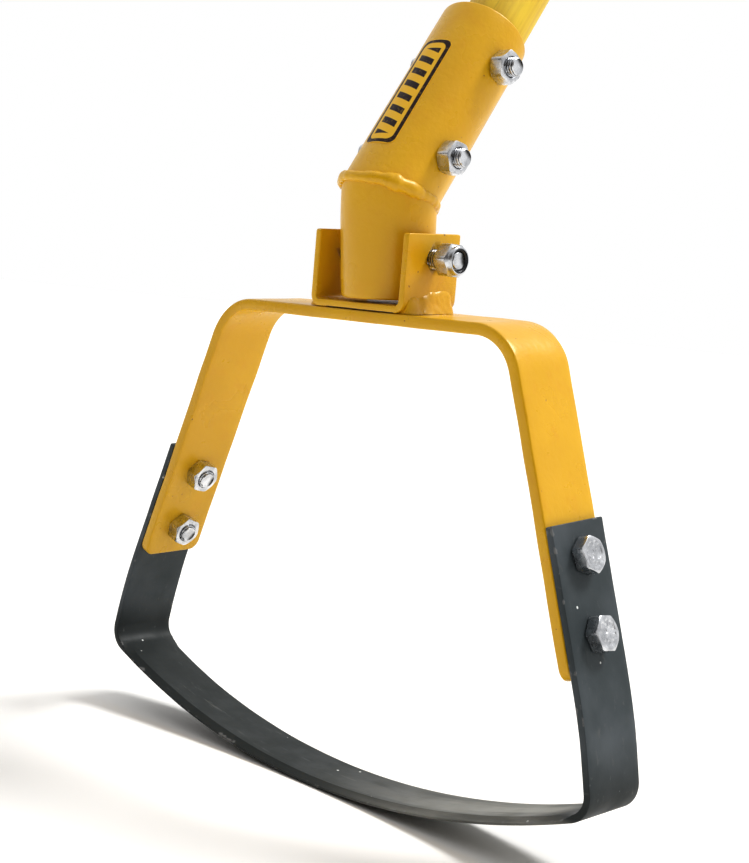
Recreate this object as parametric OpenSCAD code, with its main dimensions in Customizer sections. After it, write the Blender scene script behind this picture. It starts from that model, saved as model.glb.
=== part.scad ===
// Stirrup hoe: a swinging stirrup-shaped blade on a long round handle.
// The origin is on the handle's axis, level with the mouth of the socket. +Z is up, +Y is towards
// the person who holds the handle, and +X is along the blade, to that person's left when they face it.

/* [Handle] */
// Diameter of the handle
handle_d = 30; // [26:0.5:32]
// Whole length of the handle, with the end that sits inside the socket
handle_len = 1200; // [600:10:1500]
// Radius of the rounding on the handle's top edge
handle_round = 10; // [4:1:12]
// How far the handle leans back from straight up when the stirrup is upright, in degrees
handle_lean = 33; // [20:1:50]

/* [Socket] */
// Outside diameter of the socket tube and of the top of the stub
tube_d = 40; // [38:0.5:46]
// Wall thickness of both tubes
tube_wall = 2.5; // [1.5:0.1:3]
// Length of the socket along its axis, from where the two tubes' axes meet to its mouth
socket_len = 89.7; // [80:0.1:120]
// How far the lower cross bolt is from where the two axes meet
cross_bolt_low = 19.7; // [16:0.1:30]
// Distance between the two cross bolts
cross_bolt_gap = 49.8; // [30:0.1:55]
// How far the handle's axis sits to the side and to the back of the socket's axis
handle_shift = [1.4, 1.9]; // [-2:0.1:2]
// Length of the label along the socket
label_len = 57; // [30:1:60]
// Width of the label round the socket
label_w = 16; // [10:1:24]

/* [Stub and pivot] */
// How far above the pivot bolt the two tubes' axes meet
stub_up = 25.5; // [24:0.1:40]
// How far the stub reaches below the pivot bolt
stub_down = 17.3; // [12:0.1:17.3]
// Outside diameter of the stub's narrowed lower end
stub_low_d = 37; // [34:0.5:40]
// How far the stub, bracket and middle of the yoke are tipped forward of the legs, in degrees
stub_tip = 5; // [0:0.5:7]
// Height of the pivot bolt above the top face of the yoke
pivot_h = 22; // [20:0.5:30]
// Outside diameter of the bearing sleeve that is welded into the stub
sleeve_d = 12; // [11:0.5:16]
// Length of the pivot bolt under its head
pivot_bolt_len = 66; // [60:0.5:80]
// Length of plain shank that shows between the bracket and the lock nut
pivot_shank_gap = 5.5; // [0:0.5:6]

/* [Bracket] */
// Thickness of the bracket's sheet
sheet_t = 3; // [2:0.5:4]
// Gap between the bracket's two ears
ear_gap = 47; // [44:0.5:60]
// Height of the ears above the yoke's top face
ear_h = 32.2; // [28:0.5:40]
// Inside radius of the bracket's two bends
ear_bend = 2; // [2:0.5:6]
// How far the weld at the foot of each ear stands out from it
foot_weld = 4; // [3:0.5:7]

/* [Yoke] */
// Width of the flat bar and of the blade, front to back
bar_w = 32; // [25:1:40]
// Thickness of the flat bar
bar_t = 5; // [4:0.5:8]
// Half the width of the yoke's top, out to where the outside faces would meet
yoke_half = 81.8; // [70:0.1:110]
// How far each leg flares out from straight down, in degrees
leg_flare = 19.6; // [12:0.1:26]
// Outside radius of the bend at each shoulder
shoulder_r = 24.8; // [15:0.1:30]
// Length of each leg down its outside, from where the outside faces would meet
leg_len = 132.5; // [120:0.5:160]
// Radius of the two corners at the lower end of each leg
leg_corner = 5; // [2:0.5:8]

/* [Blade] */
// Thickness of the blade
blade_t = 3; // [2:0.1:4]
// How far down the leg the top end of the blade is
blade_top = 75.9; // [60:0.1:80]
// How far down the leg the blade starts to curve inwards
blade_straight = 132.5; // [132.5:0.5:140]
// Radius of that inward curve
side_r = 267; // [200:1:600]
// How far the inward curve turns, in degrees
side_turn = 8.8; // [4:0.1:12]
// Outside radius of the blade's two lower corners
corner_r = 10.8; // [8:0.1:20]
// How far the bottom run has risen where it reaches a corner, in degrees
bottom_rise = 22.2; // [10:0.1:30]
// Width of the sharpened bevel along both edges of the bottom run
bevel_w = 3; // [1:0.5:5]
// Thickness that the bevel leaves at the cutting edge
edge_t = 1.2; // [0.6:0.1:2]
// How far down the leg the upper blade bolt is
blade_bolt_top = 89; // [85:0.5:95]
// Distance between the two bolts on one leg
blade_bolt_gap = 29; // [24:0.5:32]

/* [M8 hardware] */
// Diameter of every bolt
bolt_d = 8; // [8]
// Width across the flats of heads and nuts
flats = 13; // [13]
// Height of a bolt head
head_h = 5.3; // [5.3]
// Height of a plain nut
nut_h = 6.5; // [6.5]
// Length of a blade bolt under its head
blade_bolt_len = 16; // [16]
// Length of a cross bolt under its head
cross_bolt_len = 50; // [50]

/* [Hidden] */
$fn = 96;

yellow = [0.91, 0.67, 0.14];
zinc = [0.75, 0.76, 0.78];
left = -1;
right = 1;
far = 200;                  // longer than anything that is cut
bolt_hole = bolt_d + 0.4;   // drilled hole that a bolt drops through
running_d = bolt_d + 0.1;   // bore that turns on the pivot bolt
cone_r = flats / 2 + 1.5;   // wide end of the cone on a hexagon's corners, wider than the corners
tube_r = tube_d / 2;
bore_r = tube_r - tube_wall;
cross_bolt_high = cross_bolt_low + cross_bolt_gap;
mitre_tilt = (stub_tip + handle_lean) / 2;

// Handle: its end is planed down a little where it goes into the socket
handle_foot = 8;            // height of its lower end above where the two tube axes meet
planed = 0.2;
handle_out = handle_len - (socket_len - handle_foot);

// Label
label_t = 0.2;
label_corner = 3;
label_up = 39;              // height of its middle above where the two tube axes meet

// Weld bead round the joint of the two tubes
bead_r = 2.9;
bead_ring_r = tube_r + 0.6;

// Weld along each ear's foot, and how far it stops short of the bar's front and back edges
foot_weld_h = 2 * foot_weld;
foot_weld_front = 2;
foot_weld_back = 3;

// The yoke's twist: its middle is square to the stub, and it turns back in even steps on each side
twist_from = 34;
twist_step = 8;
twist_steps = 3;
twist_to = twist_from + twist_steps * twist_step;
lap = 0.5;                  // how far one step reaches into the next

// Lock nut: a hexagon with a round collar that grips a nylon ring
lock_hex_h = 6;
lock_collar_h = 2.2;
collar_d = 12.2;
ring_d = 10.6;
ring_h = 1.7;

// Head of the hoe, measured from the pivot
bar_top = -pivot_h;
ear_out = ear_gap / 2 + sheet_t;
lock_nut_x = ear_out + pivot_shank_gap;

// Outlines on the +X side, as [x, z] from the middle of the yoke's top face. Each centre of the blade
// is found from the point where the stretch before it ends.
leg_dir = [sin(leg_flare), -cos(leg_flare)];
leg_out = [cos(leg_flare), sin(leg_flare)];
shoulder = [yoke_half, 0];
shoulder_centre = [yoke_half - shoulder_r * tan((90 - leg_flare) / 2), -shoulder_r];
side_start = shoulder + leg_dir * blade_straight + leg_out * blade_t;
side_centre = side_start - leg_out * side_r;
side_end_angle = leg_flare - side_turn;
side_end = side_centre + side_r * [cos(side_end_angle), sin(side_end_angle)];
corner_centre = side_end - corner_r * [cos(side_end_angle), sin(side_end_angle)];
corner_end = corner_centre + corner_r * [sin(bottom_rise), -cos(bottom_rise)];
bottom_r = corner_end.x / sin(bottom_rise);
bottom_centre = [0, corner_end.y + bottom_r * cos(bottom_rise)];

// Places. Each one starts from the one above it, down from the socket's mouth to the head.
module on_socket() rotate([-handle_lean, 0, 0])
    translate([-handle_shift.x, -handle_shift.y, -socket_len]) children();
module on_stub() on_socket() rotate([handle_lean + stub_tip, 0, 0])
    translate([0, 0, -stub_up]) children();
module on_head() on_stub() rotate([-stub_tip, 0, 0]) children();
module on_yoke() on_head() translate([0, 0, bar_top]) children();
module on_top() on_yoke() rotate([stub_tip, 0, 0]) children();

// On the outside face of a leg: x points outwards, z points up the leg, and the
// origin is the given distance down the leg
module on_leg(side, down) on_yoke() mirror([side < 0 ? 1 : 0, 0, 0])
    translate([yoke_half, 0, 0]) rotate([0, -leg_flare, 0]) translate([0, 0, -down]) children();

// Everything above, or below, the slanted plane where the two tubes meet, and a little past it
module mitre_side(up, past) rotate([mitre_tilt, 0, 0])
    translate([-far, -far, up ? -past : past - 2 * far]) cube(2 * far);

// Band of flat strip bent to an outside radius r, seen from the front, between two angles
module bent_strip(r, t, w, from, to) rotate([90, 0, 0]) rotate([0, 0, from])
    rotate_extrude(angle = to - from) translate([r - t, -w / 2]) square([t, w]);

// Strip of metal on edge, the same on both sides, from the outer and inner lines of its +X half
module extruded_strip(outer, inner) rotate([90, 0, 0]) linear_extrude(bar_w, center = true)
    polygon(concat(outer, reversed(inner), mirrored(inner), reversed(mirrored(outer))));
function arc(centre, r, from, to, steps) = [for (i = [0:steps])
    let (a = from + (to - from) * i / steps) centre + r * [cos(a), sin(a)]];
function mirrored(points) = [for (p = points) [-p.x, p.y]];
function reversed(points) = [for (i = [len(points) - 1:-1:0]) points[i]];

// Hexagon along +X from x = 0. Its corners are turned off to a cone at its outer end, or at both ends.
module hexagon(h, both_ends) rotate([0, 90, 0]) intersection() {
    cone_h = (cone_r - flats / 2) * tan(30);
    lower_end = both_ends ? [[flats / 2, 0], [cone_r, cone_h]] : [[cone_r, 0]];
    cylinder(h = h, r = flats / cos(30) / 2, $fn = 6);
    rotate_extrude() polygon(concat([[0, 0]], lower_end, [[cone_r, h - cone_h], [flats / 2, h], [0, h]]));
}

// Hexagon-head bolt along +X, the underside of its head at x = 0
module hex_bolt(len, turn) color(zinc) rotate([turn, 0, 0]) {
    tip = 0.8;
    mirror([1, 0, 0]) hexagon(head_h, false);
    rotate([0, 90, 0]) rotate_extrude() polygon([[0, -head_h / 2], [bolt_d / 2, -head_h / 2],
        [bolt_d / 2, len - tip], [bolt_d / 2 - tip, len], [0, len]]);
}

// Plain nut along +X from x = 0
module hex_nut(turn) color(zinc) rotate([turn, 0, 0]) difference() {
    hexagon(nut_h, true);
    bore_x(bolt_d);
}

// Long round cutter along X
module bore_x(d) rotate([0, 90, 0]) cylinder(h = far, d = d, center = true);

// Handle side
module handle() color([0.80, 0.66, 0.16]) rotate([-handle_lean, 0, 0]) difference() {
    union() {
        translate([0, 0, handle_foot - socket_len])
            cylinder(h = socket_len - handle_foot, d = handle_d - 2 * planed);
        rotate_extrude() {
            square([handle_d / 2, handle_out - handle_round]);
            square([handle_d / 2 - handle_round, handle_out]);
            translate([handle_d / 2 - handle_round, handle_out - handle_round])
                intersection() { circle(handle_round); square(handle_round); }
        }
    }
    for (s = [cross_bolt_low, cross_bolt_high])
        translate([0, -handle_shift.y, s - socket_len]) bore_x(bolt_hole);
}

module socket_tube() color(yellow) on_socket() difference() {
    intersection() {
        translate([0, 0, -tube_r]) cylinder(h = socket_len + tube_r, r = tube_r);
        mitre_side(true, 0);
    }
    cylinder(h = far, r = bore_r, center = true);
    for (s = [cross_bolt_low, cross_bolt_high]) translate([0, 0, s]) bore_x(bolt_hole);
}

module pivot_stub() color(yellow) difference() {
    on_stub() {
        translate([0, 0, -stub_down])
            cylinder(h = stub_up / 2 + stub_down, d1 = stub_low_d, d2 = tube_d);
        translate([0, 0, stub_up / 2]) cylinder(h = stub_up / 2 + tube_r, r = tube_r);
    }
    on_socket() mitre_side(true, 0);
    on_stub() {
        translate([0, 0, -stub_down - 1])
            cylinder(h = stub_down + stub_up + tube_r + 2, d = stub_low_d - 2 * tube_wall);
        bore_x(sleeve_d);
    }
}

// The bead is a ring on the slanted plane, outside both tubes
module socket_weld() color(yellow) difference() {
    on_socket() rotate([mitre_tilt, 0, 0]) rotate_extrude() translate([bead_ring_r, 0]) circle(bead_r);
    on_socket() intersection() {
        cylinder(h = far, r = tube_r, center = true);
        mitre_side(true, 0.05);
    }
    on_stub() intersection() {
        cylinder(h = far, r = tube_r, center = true);
        translate([0, 0, stub_up]) rotate([-2 * mitre_tilt, 0, 0]) mitre_side(false, 0.05);
    }
}

module pivot_sleeve() color(zinc) on_stub() difference() {
    rotate([0, 90, 0]) cylinder(h = stub_low_d, d = sleeve_d, center = true);
    bore_x(running_d);
}

module socket_label() color([0.93, 0.72, 0.16]) on_socket() difference() {
    intersection() {
        cylinder(h = far, r = tube_r + label_t);
        translate([0, 0, label_up]) rotate([90, 0, 0]) linear_extrude(far)
            rounded_rectangle(label_w, label_len, label_corner);
    }
    cylinder(h = far, r = tube_r);
}

module rounded_rectangle(w, h, r) {
    square([w, h - 2 * r], center = true);
    square([w - 2 * r, h], center = true);
    for (x = [-1, 1], y = [-1, 1]) translate([x * (w / 2 - r), y * (h / 2 - r)]) circle(r);
}

module cross_bolt(up) on_socket() translate([-tube_r, 0, up]) hex_bolt(cross_bolt_len, 0);
module cross_nut(up, turn) on_socket() translate([tube_r, 0, up]) hex_nut(turn);
module cross_bolt_upper() cross_bolt(cross_bolt_high);
module cross_bolt_lower() cross_bolt(cross_bolt_low);
module cross_nut_upper() cross_nut(cross_bolt_high, 10);
module cross_nut_lower() cross_nut(cross_bolt_low, 25);

// Swinging head
module pivot_bolt() on_head() translate([-ear_out, 0, 0]) hex_bolt(pivot_bolt_len, 0);

module pivot_lock_nut() color(zinc) on_head() translate([lock_nut_x, 0, 0]) difference() {
    union() {
        hexagon(lock_hex_h, true);
        rotate([0, 90, 0]) cylinder(h = lock_hex_h + lock_collar_h, d = collar_d);
    }
    bore_x(bolt_d);
    translate([lock_hex_h, 0, 0]) rotate([0, 90, 0]) cylinder(h = far, d = ring_d);
}

module lock_nut_insert() color([0.13, 0.14, 0.15]) on_head()
    translate([lock_nut_x + lock_hex_h, 0, 0]) difference() {
        rotate([0, 90, 0]) cylinder(h = ring_h, d = ring_d);
        bore_x(bolt_d);
    }

// The bracket is tipped like the yoke under it, and its front and back edges are flush with the bar's
module bracket() color(yellow) difference() {
    bend_out = ear_bend + sheet_t;
    wide = 1.5 * bar_w;
    intersection() {
        on_top() {
            translate([bend_out - ear_out, -wide / 2, 0]) cube([2 * (ear_out - bend_out), wide, sheet_t]);
            for (side = [0, 1]) mirror([side, 0, 0]) {
                translate([ear_out - bend_out, 0, bend_out]) bent_strip(bend_out, sheet_t, wide, -90, 0);
                translate([ear_out - sheet_t, -wide / 2, bend_out]) cube([sheet_t, wide, ear_h - bend_out]);
            }
        }
        on_yoke() translate([-far / 2, -bar_w / 2, -far / 2]) cube([far, bar_w, far]);
    }
    on_head() bore_x(bolt_hole);
}

// Fillet of weld in the corner between the ear's foot and the yoke
module bracket_weld(side) color(yellow) on_top() mirror([side < 0 ? 1 : 0, 0, 0]) {
    foot = ear_out - ear_bend - sheet_t;
    difference() {
        translate([foot, bar_w / 2 - foot_weld_back, 0]) rotate([90, 0, 0])
            linear_extrude(bar_w - foot_weld_front - foot_weld_back)
                polygon([[0, 0], [ear_out - foot + foot_weld, 0], [ear_out - foot, foot_weld_h],
                    [0, foot_weld_h]]);
        translate([0, -bar_w, sheet_t + ear_bend]) cube([ear_out, 2 * bar_w, far]);
        translate([foot, 0, sheet_t + ear_bend]) rotate([90, 0, 0])
            cylinder(h = 2 * bar_w, r = sheet_t + ear_bend, center = true);
    }
}
module bracket_weld_left() bracket_weld(left);
module bracket_weld_right() bracket_weld(right);

module yoke() color(yellow) difference() {
    union() {
        yoke_block(-twist_from, twist_from, 0);
        for (side = [left, right]) {
            for (n = [1:twist_steps]) {
                inner = side * (twist_from + (n - 1) * twist_step - lap);
                outer = side * (twist_from + n * twist_step + lap);
                yoke_block(min(inner, outer), max(inner, outer), n);
            }
            on_yoke() rotate([90, 0, 0]) linear_extrude(bar_w, center = true)
                polygon([for (p = concat(yoke_side(0), reversed(yoke_side(bar_t)))) [side * p.x, p.y]]);
        }
    }
    for (side = [left, right], edge = [-1, 1]) on_leg(side, leg_len - leg_corner)
        translate([0, edge * (bar_w / 2 - leg_corner), 0]) corner_cut(edge);
    blade_bolt_holes();
}

// Part of the yoke's top, n steps of its twist away from the middle
module yoke_block(from, to, n) on_yoke() rotate([stub_tip * (1 - n / (twist_steps + 1)), 0, 0])
    translate([from, -bar_w / 2, -bar_t]) cube([to - from, bar_w, bar_t]);

// The yoke's +X side from where its twist ends to the end of its leg, a given depth below its outside
function yoke_side(depth) = concat([[twist_to, -depth]],
    arc(shoulder_centre, shoulder_r - depth, 90, leg_flare, 14),
    [shoulder + leg_dir * leg_len - leg_out * depth]);

// What is rounded off a leg's lower corner. The round is a hair larger than the corner, so that its
// face crosses the leg's faces and isn't tangent to them.
module corner_cut(edge) mirror([0, edge < 0 ? 1 : 0, 0]) rotate([0, -90, 0]) difference() {
    translate([-2 * leg_corner, 0, -bar_t]) cube([2 * leg_corner, 2 * leg_corner, 3 * bar_t]);
    cylinder(h = 5 * bar_t, r = leg_corner + 0.02, center = true);
}

module blade_bolt_holes() for (side = [left, right], n = [0, 1])
    on_leg(side, blade_bolt_top + n * blade_bolt_gap) rotate([0, 90, 0])
        cylinder(h = 6 * bar_t, d = bolt_hole, center = true);

module blade() color([0.27, 0.29, 0.30]) difference() {
    on_yoke() extruded_strip(blade_side(0), blade_side(blade_t));
    for (edge = [0, 1]) on_yoke() mirror([0, edge, 0]) bevel_cut();
    blade_bolt_holes();
}

// The blade's +X half from the middle of the bottom up to its top end, a given depth below its outside
function blade_side(depth) = concat(
    arc(bottom_centre, bottom_r - depth, -90, bottom_rise - 90, 14),
    arc(corner_centre, corner_r - depth, bottom_rise - 90, side_end_angle, 12),
    arc(side_centre, side_r - depth, side_end_angle, leg_flare, 4),
    [shoulder + leg_dir * blade_top + leg_out * (blade_t - depth)]);
// What the grinder takes off the upper side of the bottom run's edge at +Y. The slanted face runs
// half its width past the blade at both ends, so that it cuts cleanly.
module bevel_cut() translate([0, 0, bottom_centre.y]) rotate([-90, 0, 0]) rotate([0, 0, 90 - bottom_rise])
    rotate_extrude(angle = 2 * bottom_rise) polygon([on_bevel(-0.5), on_bevel(1.5),
        [bottom_r - 3 * blade_t, bar_w / 2 - 1.5 * bevel_w], [bottom_r - 3 * blade_t, bar_w]]);
function on_bevel(k) = [bottom_r - edge_t - (blade_t - edge_t) * k, bar_w / 2 - bevel_w * k];

// Blade bolts have their heads outside the blade and their nuts inside the yoke
module blade_bolt(side, n, turn) on_leg(side, blade_bolt_top + n * blade_bolt_gap)
    translate([blade_t, 0, 0]) mirror([1, 0, 0]) hex_bolt(blade_bolt_len, turn);
module blade_nut(side, n, turn) on_leg(side, blade_bolt_top + n * blade_bolt_gap)
    translate([-bar_t, 0, 0]) mirror([1, 0, 0]) hex_nut(turn);
module blade_bolt_left_upper() blade_bolt(left, 0, 0);
module blade_bolt_left_lower() blade_bolt(left, 1, 15);
module blade_bolt_right_upper() blade_bolt(right, 0, 20);
module blade_bolt_right_lower() blade_bolt(right, 1, 5);
module blade_nut_left_upper() blade_nut(left, 0, 10);
module blade_nut_left_lower() blade_nut(left, 1, 20);
module blade_nut_right_upper() blade_nut(right, 0, 0);
module blade_nut_right_lower() blade_nut(right, 1, 15);

handle();
socket_tube();
pivot_stub();
socket_weld();
pivot_sleeve();
socket_label();
cross_bolt_upper();
cross_bolt_lower();
cross_nut_upper();
cross_nut_lower();
pivot_bolt();
pivot_lock_nut();
lock_nut_insert();
bracket();
bracket_weld_left();
bracket_weld_right();
yoke();
blade();
blade_bolt_left_upper();
blade_bolt_left_lower();
blade_bolt_right_upper();
blade_bolt_right_lower();
blade_nut_left_upper();
blade_nut_left_lower();
blade_nut_right_upper();
blade_nut_right_lower();
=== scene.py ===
import math
import bmesh
import bpy
from mathutils import Matrix, Vector, noise


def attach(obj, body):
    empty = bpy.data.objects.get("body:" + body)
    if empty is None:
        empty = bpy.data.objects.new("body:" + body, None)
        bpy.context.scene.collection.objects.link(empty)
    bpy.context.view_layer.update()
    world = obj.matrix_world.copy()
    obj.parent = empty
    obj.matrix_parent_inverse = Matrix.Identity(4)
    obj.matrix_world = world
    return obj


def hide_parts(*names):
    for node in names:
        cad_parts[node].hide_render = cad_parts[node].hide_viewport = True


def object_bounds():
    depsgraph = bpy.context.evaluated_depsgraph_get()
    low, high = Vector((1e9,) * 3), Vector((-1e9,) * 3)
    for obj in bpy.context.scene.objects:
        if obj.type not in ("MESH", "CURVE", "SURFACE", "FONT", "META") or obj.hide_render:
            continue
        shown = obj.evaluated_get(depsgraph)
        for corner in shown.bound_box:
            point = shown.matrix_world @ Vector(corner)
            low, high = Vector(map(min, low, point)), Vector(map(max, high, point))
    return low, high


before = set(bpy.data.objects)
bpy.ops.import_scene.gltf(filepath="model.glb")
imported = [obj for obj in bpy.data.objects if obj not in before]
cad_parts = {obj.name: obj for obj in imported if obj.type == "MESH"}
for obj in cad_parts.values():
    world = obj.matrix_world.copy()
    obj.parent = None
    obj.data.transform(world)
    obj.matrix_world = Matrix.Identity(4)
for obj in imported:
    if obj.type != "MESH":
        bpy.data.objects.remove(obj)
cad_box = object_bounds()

# Sizes in mm and degrees, with the names they have in the CAD source
HANDLE_D, HANDLE_LEN, HANDLE_ROUND, HANDLE_LEAN = 30, 1200, 10, 33
TUBE_R, TUBE_WALL, SOCKET_LEN = 20, 2.5, 89.7
CROSS_BOLT_LOW, CROSS_BOLT_GAP, CROSS_BOLT_LEN = 19.7, 49.8, 50
HANDLE_SHIFT = (1.4, 1.9)
HANDLE_FOOT, PLANED = 8, 0.2
LABEL_LEN, LABEL_W, LABEL_T, LABEL_CORNER, LABEL_UP = 57, 16, 0.2, 3, 39
STUB_UP, STUB_DOWN, STUB_LOW_D, STUB_TIP = 25.5, 17.3, 37, 5
PIVOT_H, PIVOT_BOLT_LEN, PIVOT_SHANK_GAP = 22, 66, 5.5
SHEET_T, EAR_GAP, EAR_H, EAR_BEND, FOOT_WELD = 3, 47, 32.2, 2, 4
FOOT_WELD_FRONT, FOOT_WELD_BACK = 2, 3
BAR_W, BAR_T, YOKE_HALF, LEG_FLARE, SHOULDER_R, LEG_LEN, LEG_CORNER = 32, 5, 81.8, 19.6, 24.8, 132.5, 5
BLADE_T, BLADE_TOP, BLADE_STRAIGHT, SIDE_R, SIDE_TURN = 3, 75.9, 132.5, 267, 8.8
CORNER_R, BOTTOM_RISE, BEVEL_W, EDGE_T = 10.8, 22.2, 3, 1.2
BLADE_BOLT_TOP, BLADE_BOLT_GAP, BLADE_BOLT_LEN = 89, 29, 16
BOLT_D, FLATS, HEAD_H, NUT_H = 8, 13, 5.3, 6.5
LOCK_HEX_H, LOCK_COLLAR_H, COLLAR_D, RING_D, RING_H = 6, 2.2, 12.2, 10.6, 1.7

# Sizes that follow from those
MITRE_TILT = (STUB_TIP + HANDLE_LEAN) / 2
MITRE_SLOPE = math.tan(math.radians(MITRE_TILT))
EAR_OUT = EAR_GAP / 2 + SHEET_T
EAR_FOOT = EAR_OUT - EAR_BEND - SHEET_T     # where an ear's bend begins, from the middle

# Detail that the CAD leaves out
THREAD_PITCH = 1.25
THREAD_DEPTH = 0.61 * THREAD_PITCH
CROSS_THREAD, PIVOT_THREAD, BLADE_THREAD = 12, 22, 6    # how much of each bolt is threaded
BORE_R = BOLT_D / 2 + 0.03
SKIM = 0.15                 # how far strips are drawn inside their full size, as room for unevenness
SOFT = 0.9                  # rounding of the tubes' cut edges
SHEET_ROUND, SHEET_CORNER = 0.5, 1.2        # rounding of the bracket's edges and its corners
BAR_ROUND, BLADE_ROUND, BLADE_CORNER = 0.8, 0.35, 0.8
BRACKET_LEAN = 0.03         # how far the ears come forward for each mm of height
TIPPED_ABOVE, EVEN_BELOW = -100, -185   # heights from the yoke's top between which its tip fades out

# The two bodies
TOOL, HEAD = "handle_and_socket", "stirrup_head"


# Places, as 4x4 matrices from mm to the row frame in metres

def move(x, y, z):
    return Matrix.Translation((x, y, z))


def turn(degrees, axis):
    return Matrix.Rotation(math.radians(degrees), 4, axis)


ROW = Matrix.Diagonal((0.001, 0.001, 0.001, 1))
ALONG_HANDLE = ROW @ turn(-HANDLE_LEAN, "X")
AT_SOCKET = ALONG_HANDLE @ move(-HANDLE_SHIFT[0], -HANDLE_SHIFT[1], -SOCKET_LEN)
AT_STUB = AT_SOCKET @ turn(HANDLE_LEAN + STUB_TIP, "X") @ move(0, 0, -STUB_UP)
AT_HEAD = AT_STUB @ turn(-STUB_TIP, "X")
AT_YOKE = AT_HEAD @ move(0, 0, -PIVOT_H)
MIRROR = Matrix.Diagonal((-1, 1, 1, 1))


def on_leg(side, down):
    """On a leg's outside face, the given distance down it: x points outwards and z up the leg."""
    flip = MIRROR if side < 0 else Matrix.Identity(4)
    return AT_YOKE @ flip @ move(YOKE_HALF, 0, 0) @ turn(-LEG_FLARE, "Y") @ move(0, 0, -down)


# Meshes. A ring is a list of points, each x, y, z and a number that is 1 on an exposed edge, 0 on plain
# surface and below 0 in grooves and seams, which the materials darken as painted shade.

def skin(rings, closed):
    """Faces over rings that all have the same number of points. An open run is capped at both ends."""
    n, count = len(rings[0]), len(rings)
    faces = []
    for i in range(count if closed else count - 1):
        a, b = i * n, (i + 1) % count * n
        faces += [(a + j, a + (j + 1) % n, b + (j + 1) % n, b + j) for j in range(n)]
    if not closed:
        faces += [tuple(range(n)), tuple(range((count - 1) * n, count * n))]
    return faces


def make_piece(name, rings, place, look, body, nodes, closed=False, sharp=38):
    """A piece from rings at a place, given the material of look = (material, slot), whose slot is not used,
    riding on body.
    """
    points = [p for ring in rings for p in ring]
    mesh = bpy.data.meshes.new(name)
    mesh.from_pydata([place @ Vector(p[:3]) for p in points], [], skin(rings, closed))
    wear_and_shade = mesh.attributes.new("wear_and_shade", "FLOAT", "POINT")
    wear_and_shade.data.foreach_set("value", [p[3] for p in points])
    return finish_piece(name, mesh, look, body, nodes, sharp)


def finish_piece(name, mesh, look, body, nodes, sharp):
    """An object for a piece's mesh, smooth except over edges of more than sharp degrees."""
    bm = bmesh.new()
    bm.from_mesh(mesh)
    bmesh.ops.recalc_face_normals(bm, faces=bm.faces)
    bm.to_mesh(mesh)
    bm.free()
    mesh.polygons.foreach_set("use_smooth", [True] * len(mesh.polygons))
    mesh.set_sharp_from_angle(angle=math.radians(sharp))
    material, slot = look
    mesh.materials.append(material)
    ob = bpy.data.objects.new(name, mesh)
    bpy.context.scene.collection.objects.link(ob)
    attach(ob, body)
    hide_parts(*nodes)
    return ob


def lumps(x, y, z, size, seed=0.0):
    """Smooth noise between about -1 and 1 whose bumps are about size across."""
    return noise.noise(Vector((x / size + seed, y / size - seed, z / size + 3 * seed)))


# Strips of flat bar. A path is a list of (x, z, outward x, outward z) along the strip's outside face.

def arc(centre, radius, start, stop, steps):
    """Path round a centre from one angle to another, facing away from the centre."""
    path = []
    for i in range(steps + 1):
        a = math.radians(start + (stop - start) * i / steps)
        path.append((centre[0] + radius * math.cos(a), centre[1] + radius * math.sin(a),
                     math.cos(a), math.sin(a)))
    return path


def both_halves(path):
    """A path that starts on the middle line, with its mirror image before it."""
    return [(-x, z, -nx, nz) for x, z, nx, nz in path[:0:-1]] + path


def station(path, lengths, s):
    """The path's point and outward direction at a distance s along it."""
    i = 0
    while i < len(path) - 2 and lengths[i + 1] < s:
        i += 1
    step = lengths[i + 1] - lengths[i]
    return [p + (q - p) * (s - lengths[i]) / step for p, q in zip(path[i], path[i + 1])]


def strip_section(half_w, outer, inner, round_r, edge_t):
    """A strip's section as (y, depth, wear), with rounded edges and room for a bevel on its inner face."""
    corners = ((1, outer), (1, outer + edge_t), (-1, outer + edge_t), (-1, outer))
    section = []
    for k, (side, depth) in enumerate(corners):
        inwards = 1 if k in (0, 3) else -1
        for i in range(4):
            a = math.radians(90 * (k - 1 + i / 3))
            section.append((side * (half_w - round_r) + round_r * math.cos(a),
                            depth + inwards * round_r + round_r * math.sin(a), 1.0))
        if k in (1, 3):
            flat = inner if k == 1 else outer
            section += [(side * (half_w - BEVEL_W) * (1 - i / 4), flat, 0.0) for i in range(9)]
        else:
            section.append((section[-1][0], outer + edge_t / 2, 0.2))
    return section


def make_strip_rings(path, thick, round_r, corner, bevel=lambda x, z: 0.0):
    """Rings of a strip along path, with edges rounded to round_r and the corners of its ends to corner.

    bevel(x, z) is how much of the bevel its inner edges have there, 0 to 1."""
    lengths = [0.0]
    for p, q in zip(path, path[1:]):
        lengths.append(lengths[-1] + math.dist(p[:2], q[:2]))
    total = lengths[-1]
    quarter = [math.radians(90 * i / 6) for i in range(7)]
    ends = {round_r * (1 - math.cos(a)) for a in quarter} | {corner * (1 - math.cos(a)) for a in quarter}
    ends |= {max(round_r, corner) + 1.5}
    span, longest = max(ends), 6
    run = [s for s in lengths if span < s < total - span]
    filled = []
    for a, b in zip([span] + run, run + [total - span]):
        n = max(1, math.ceil((b - a) / longest))
        filled += [a + (b - a) * i / n for i in range(1, n + 1)]
    stops = sorted(ends | {total - e for e in ends} | set(filled[:-1]))
    rings = []
    for s in stops:
        x, z, nx, nz = station(path, lengths, s)
        size = math.hypot(nx, nz)
        nx, nz = nx / size, nz / size
        e = min(s, total - s)
        inset = round_r - math.sqrt(max(0, round_r ** 2 - max(0, round_r - e) ** 2))
        narrow = corner - math.sqrt(max(0, corner ** 2 - max(0, corner - e) ** 2))
        edge_t = thick - (thick - EDGE_T) * bevel(x, z) - 2 * inset - SKIM
        section = strip_section(BAR_W / 2 - SKIM - narrow - inset, SKIM + inset, thick - inset,
                                max(0.03, round_r - inset), edge_t)
        rings.append([(x - nx * d, y, z - nz * d, max(w, 1.0 if e < 2 * round_r else 0.0))
                      for y, d, w in section])
    return rings


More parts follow.
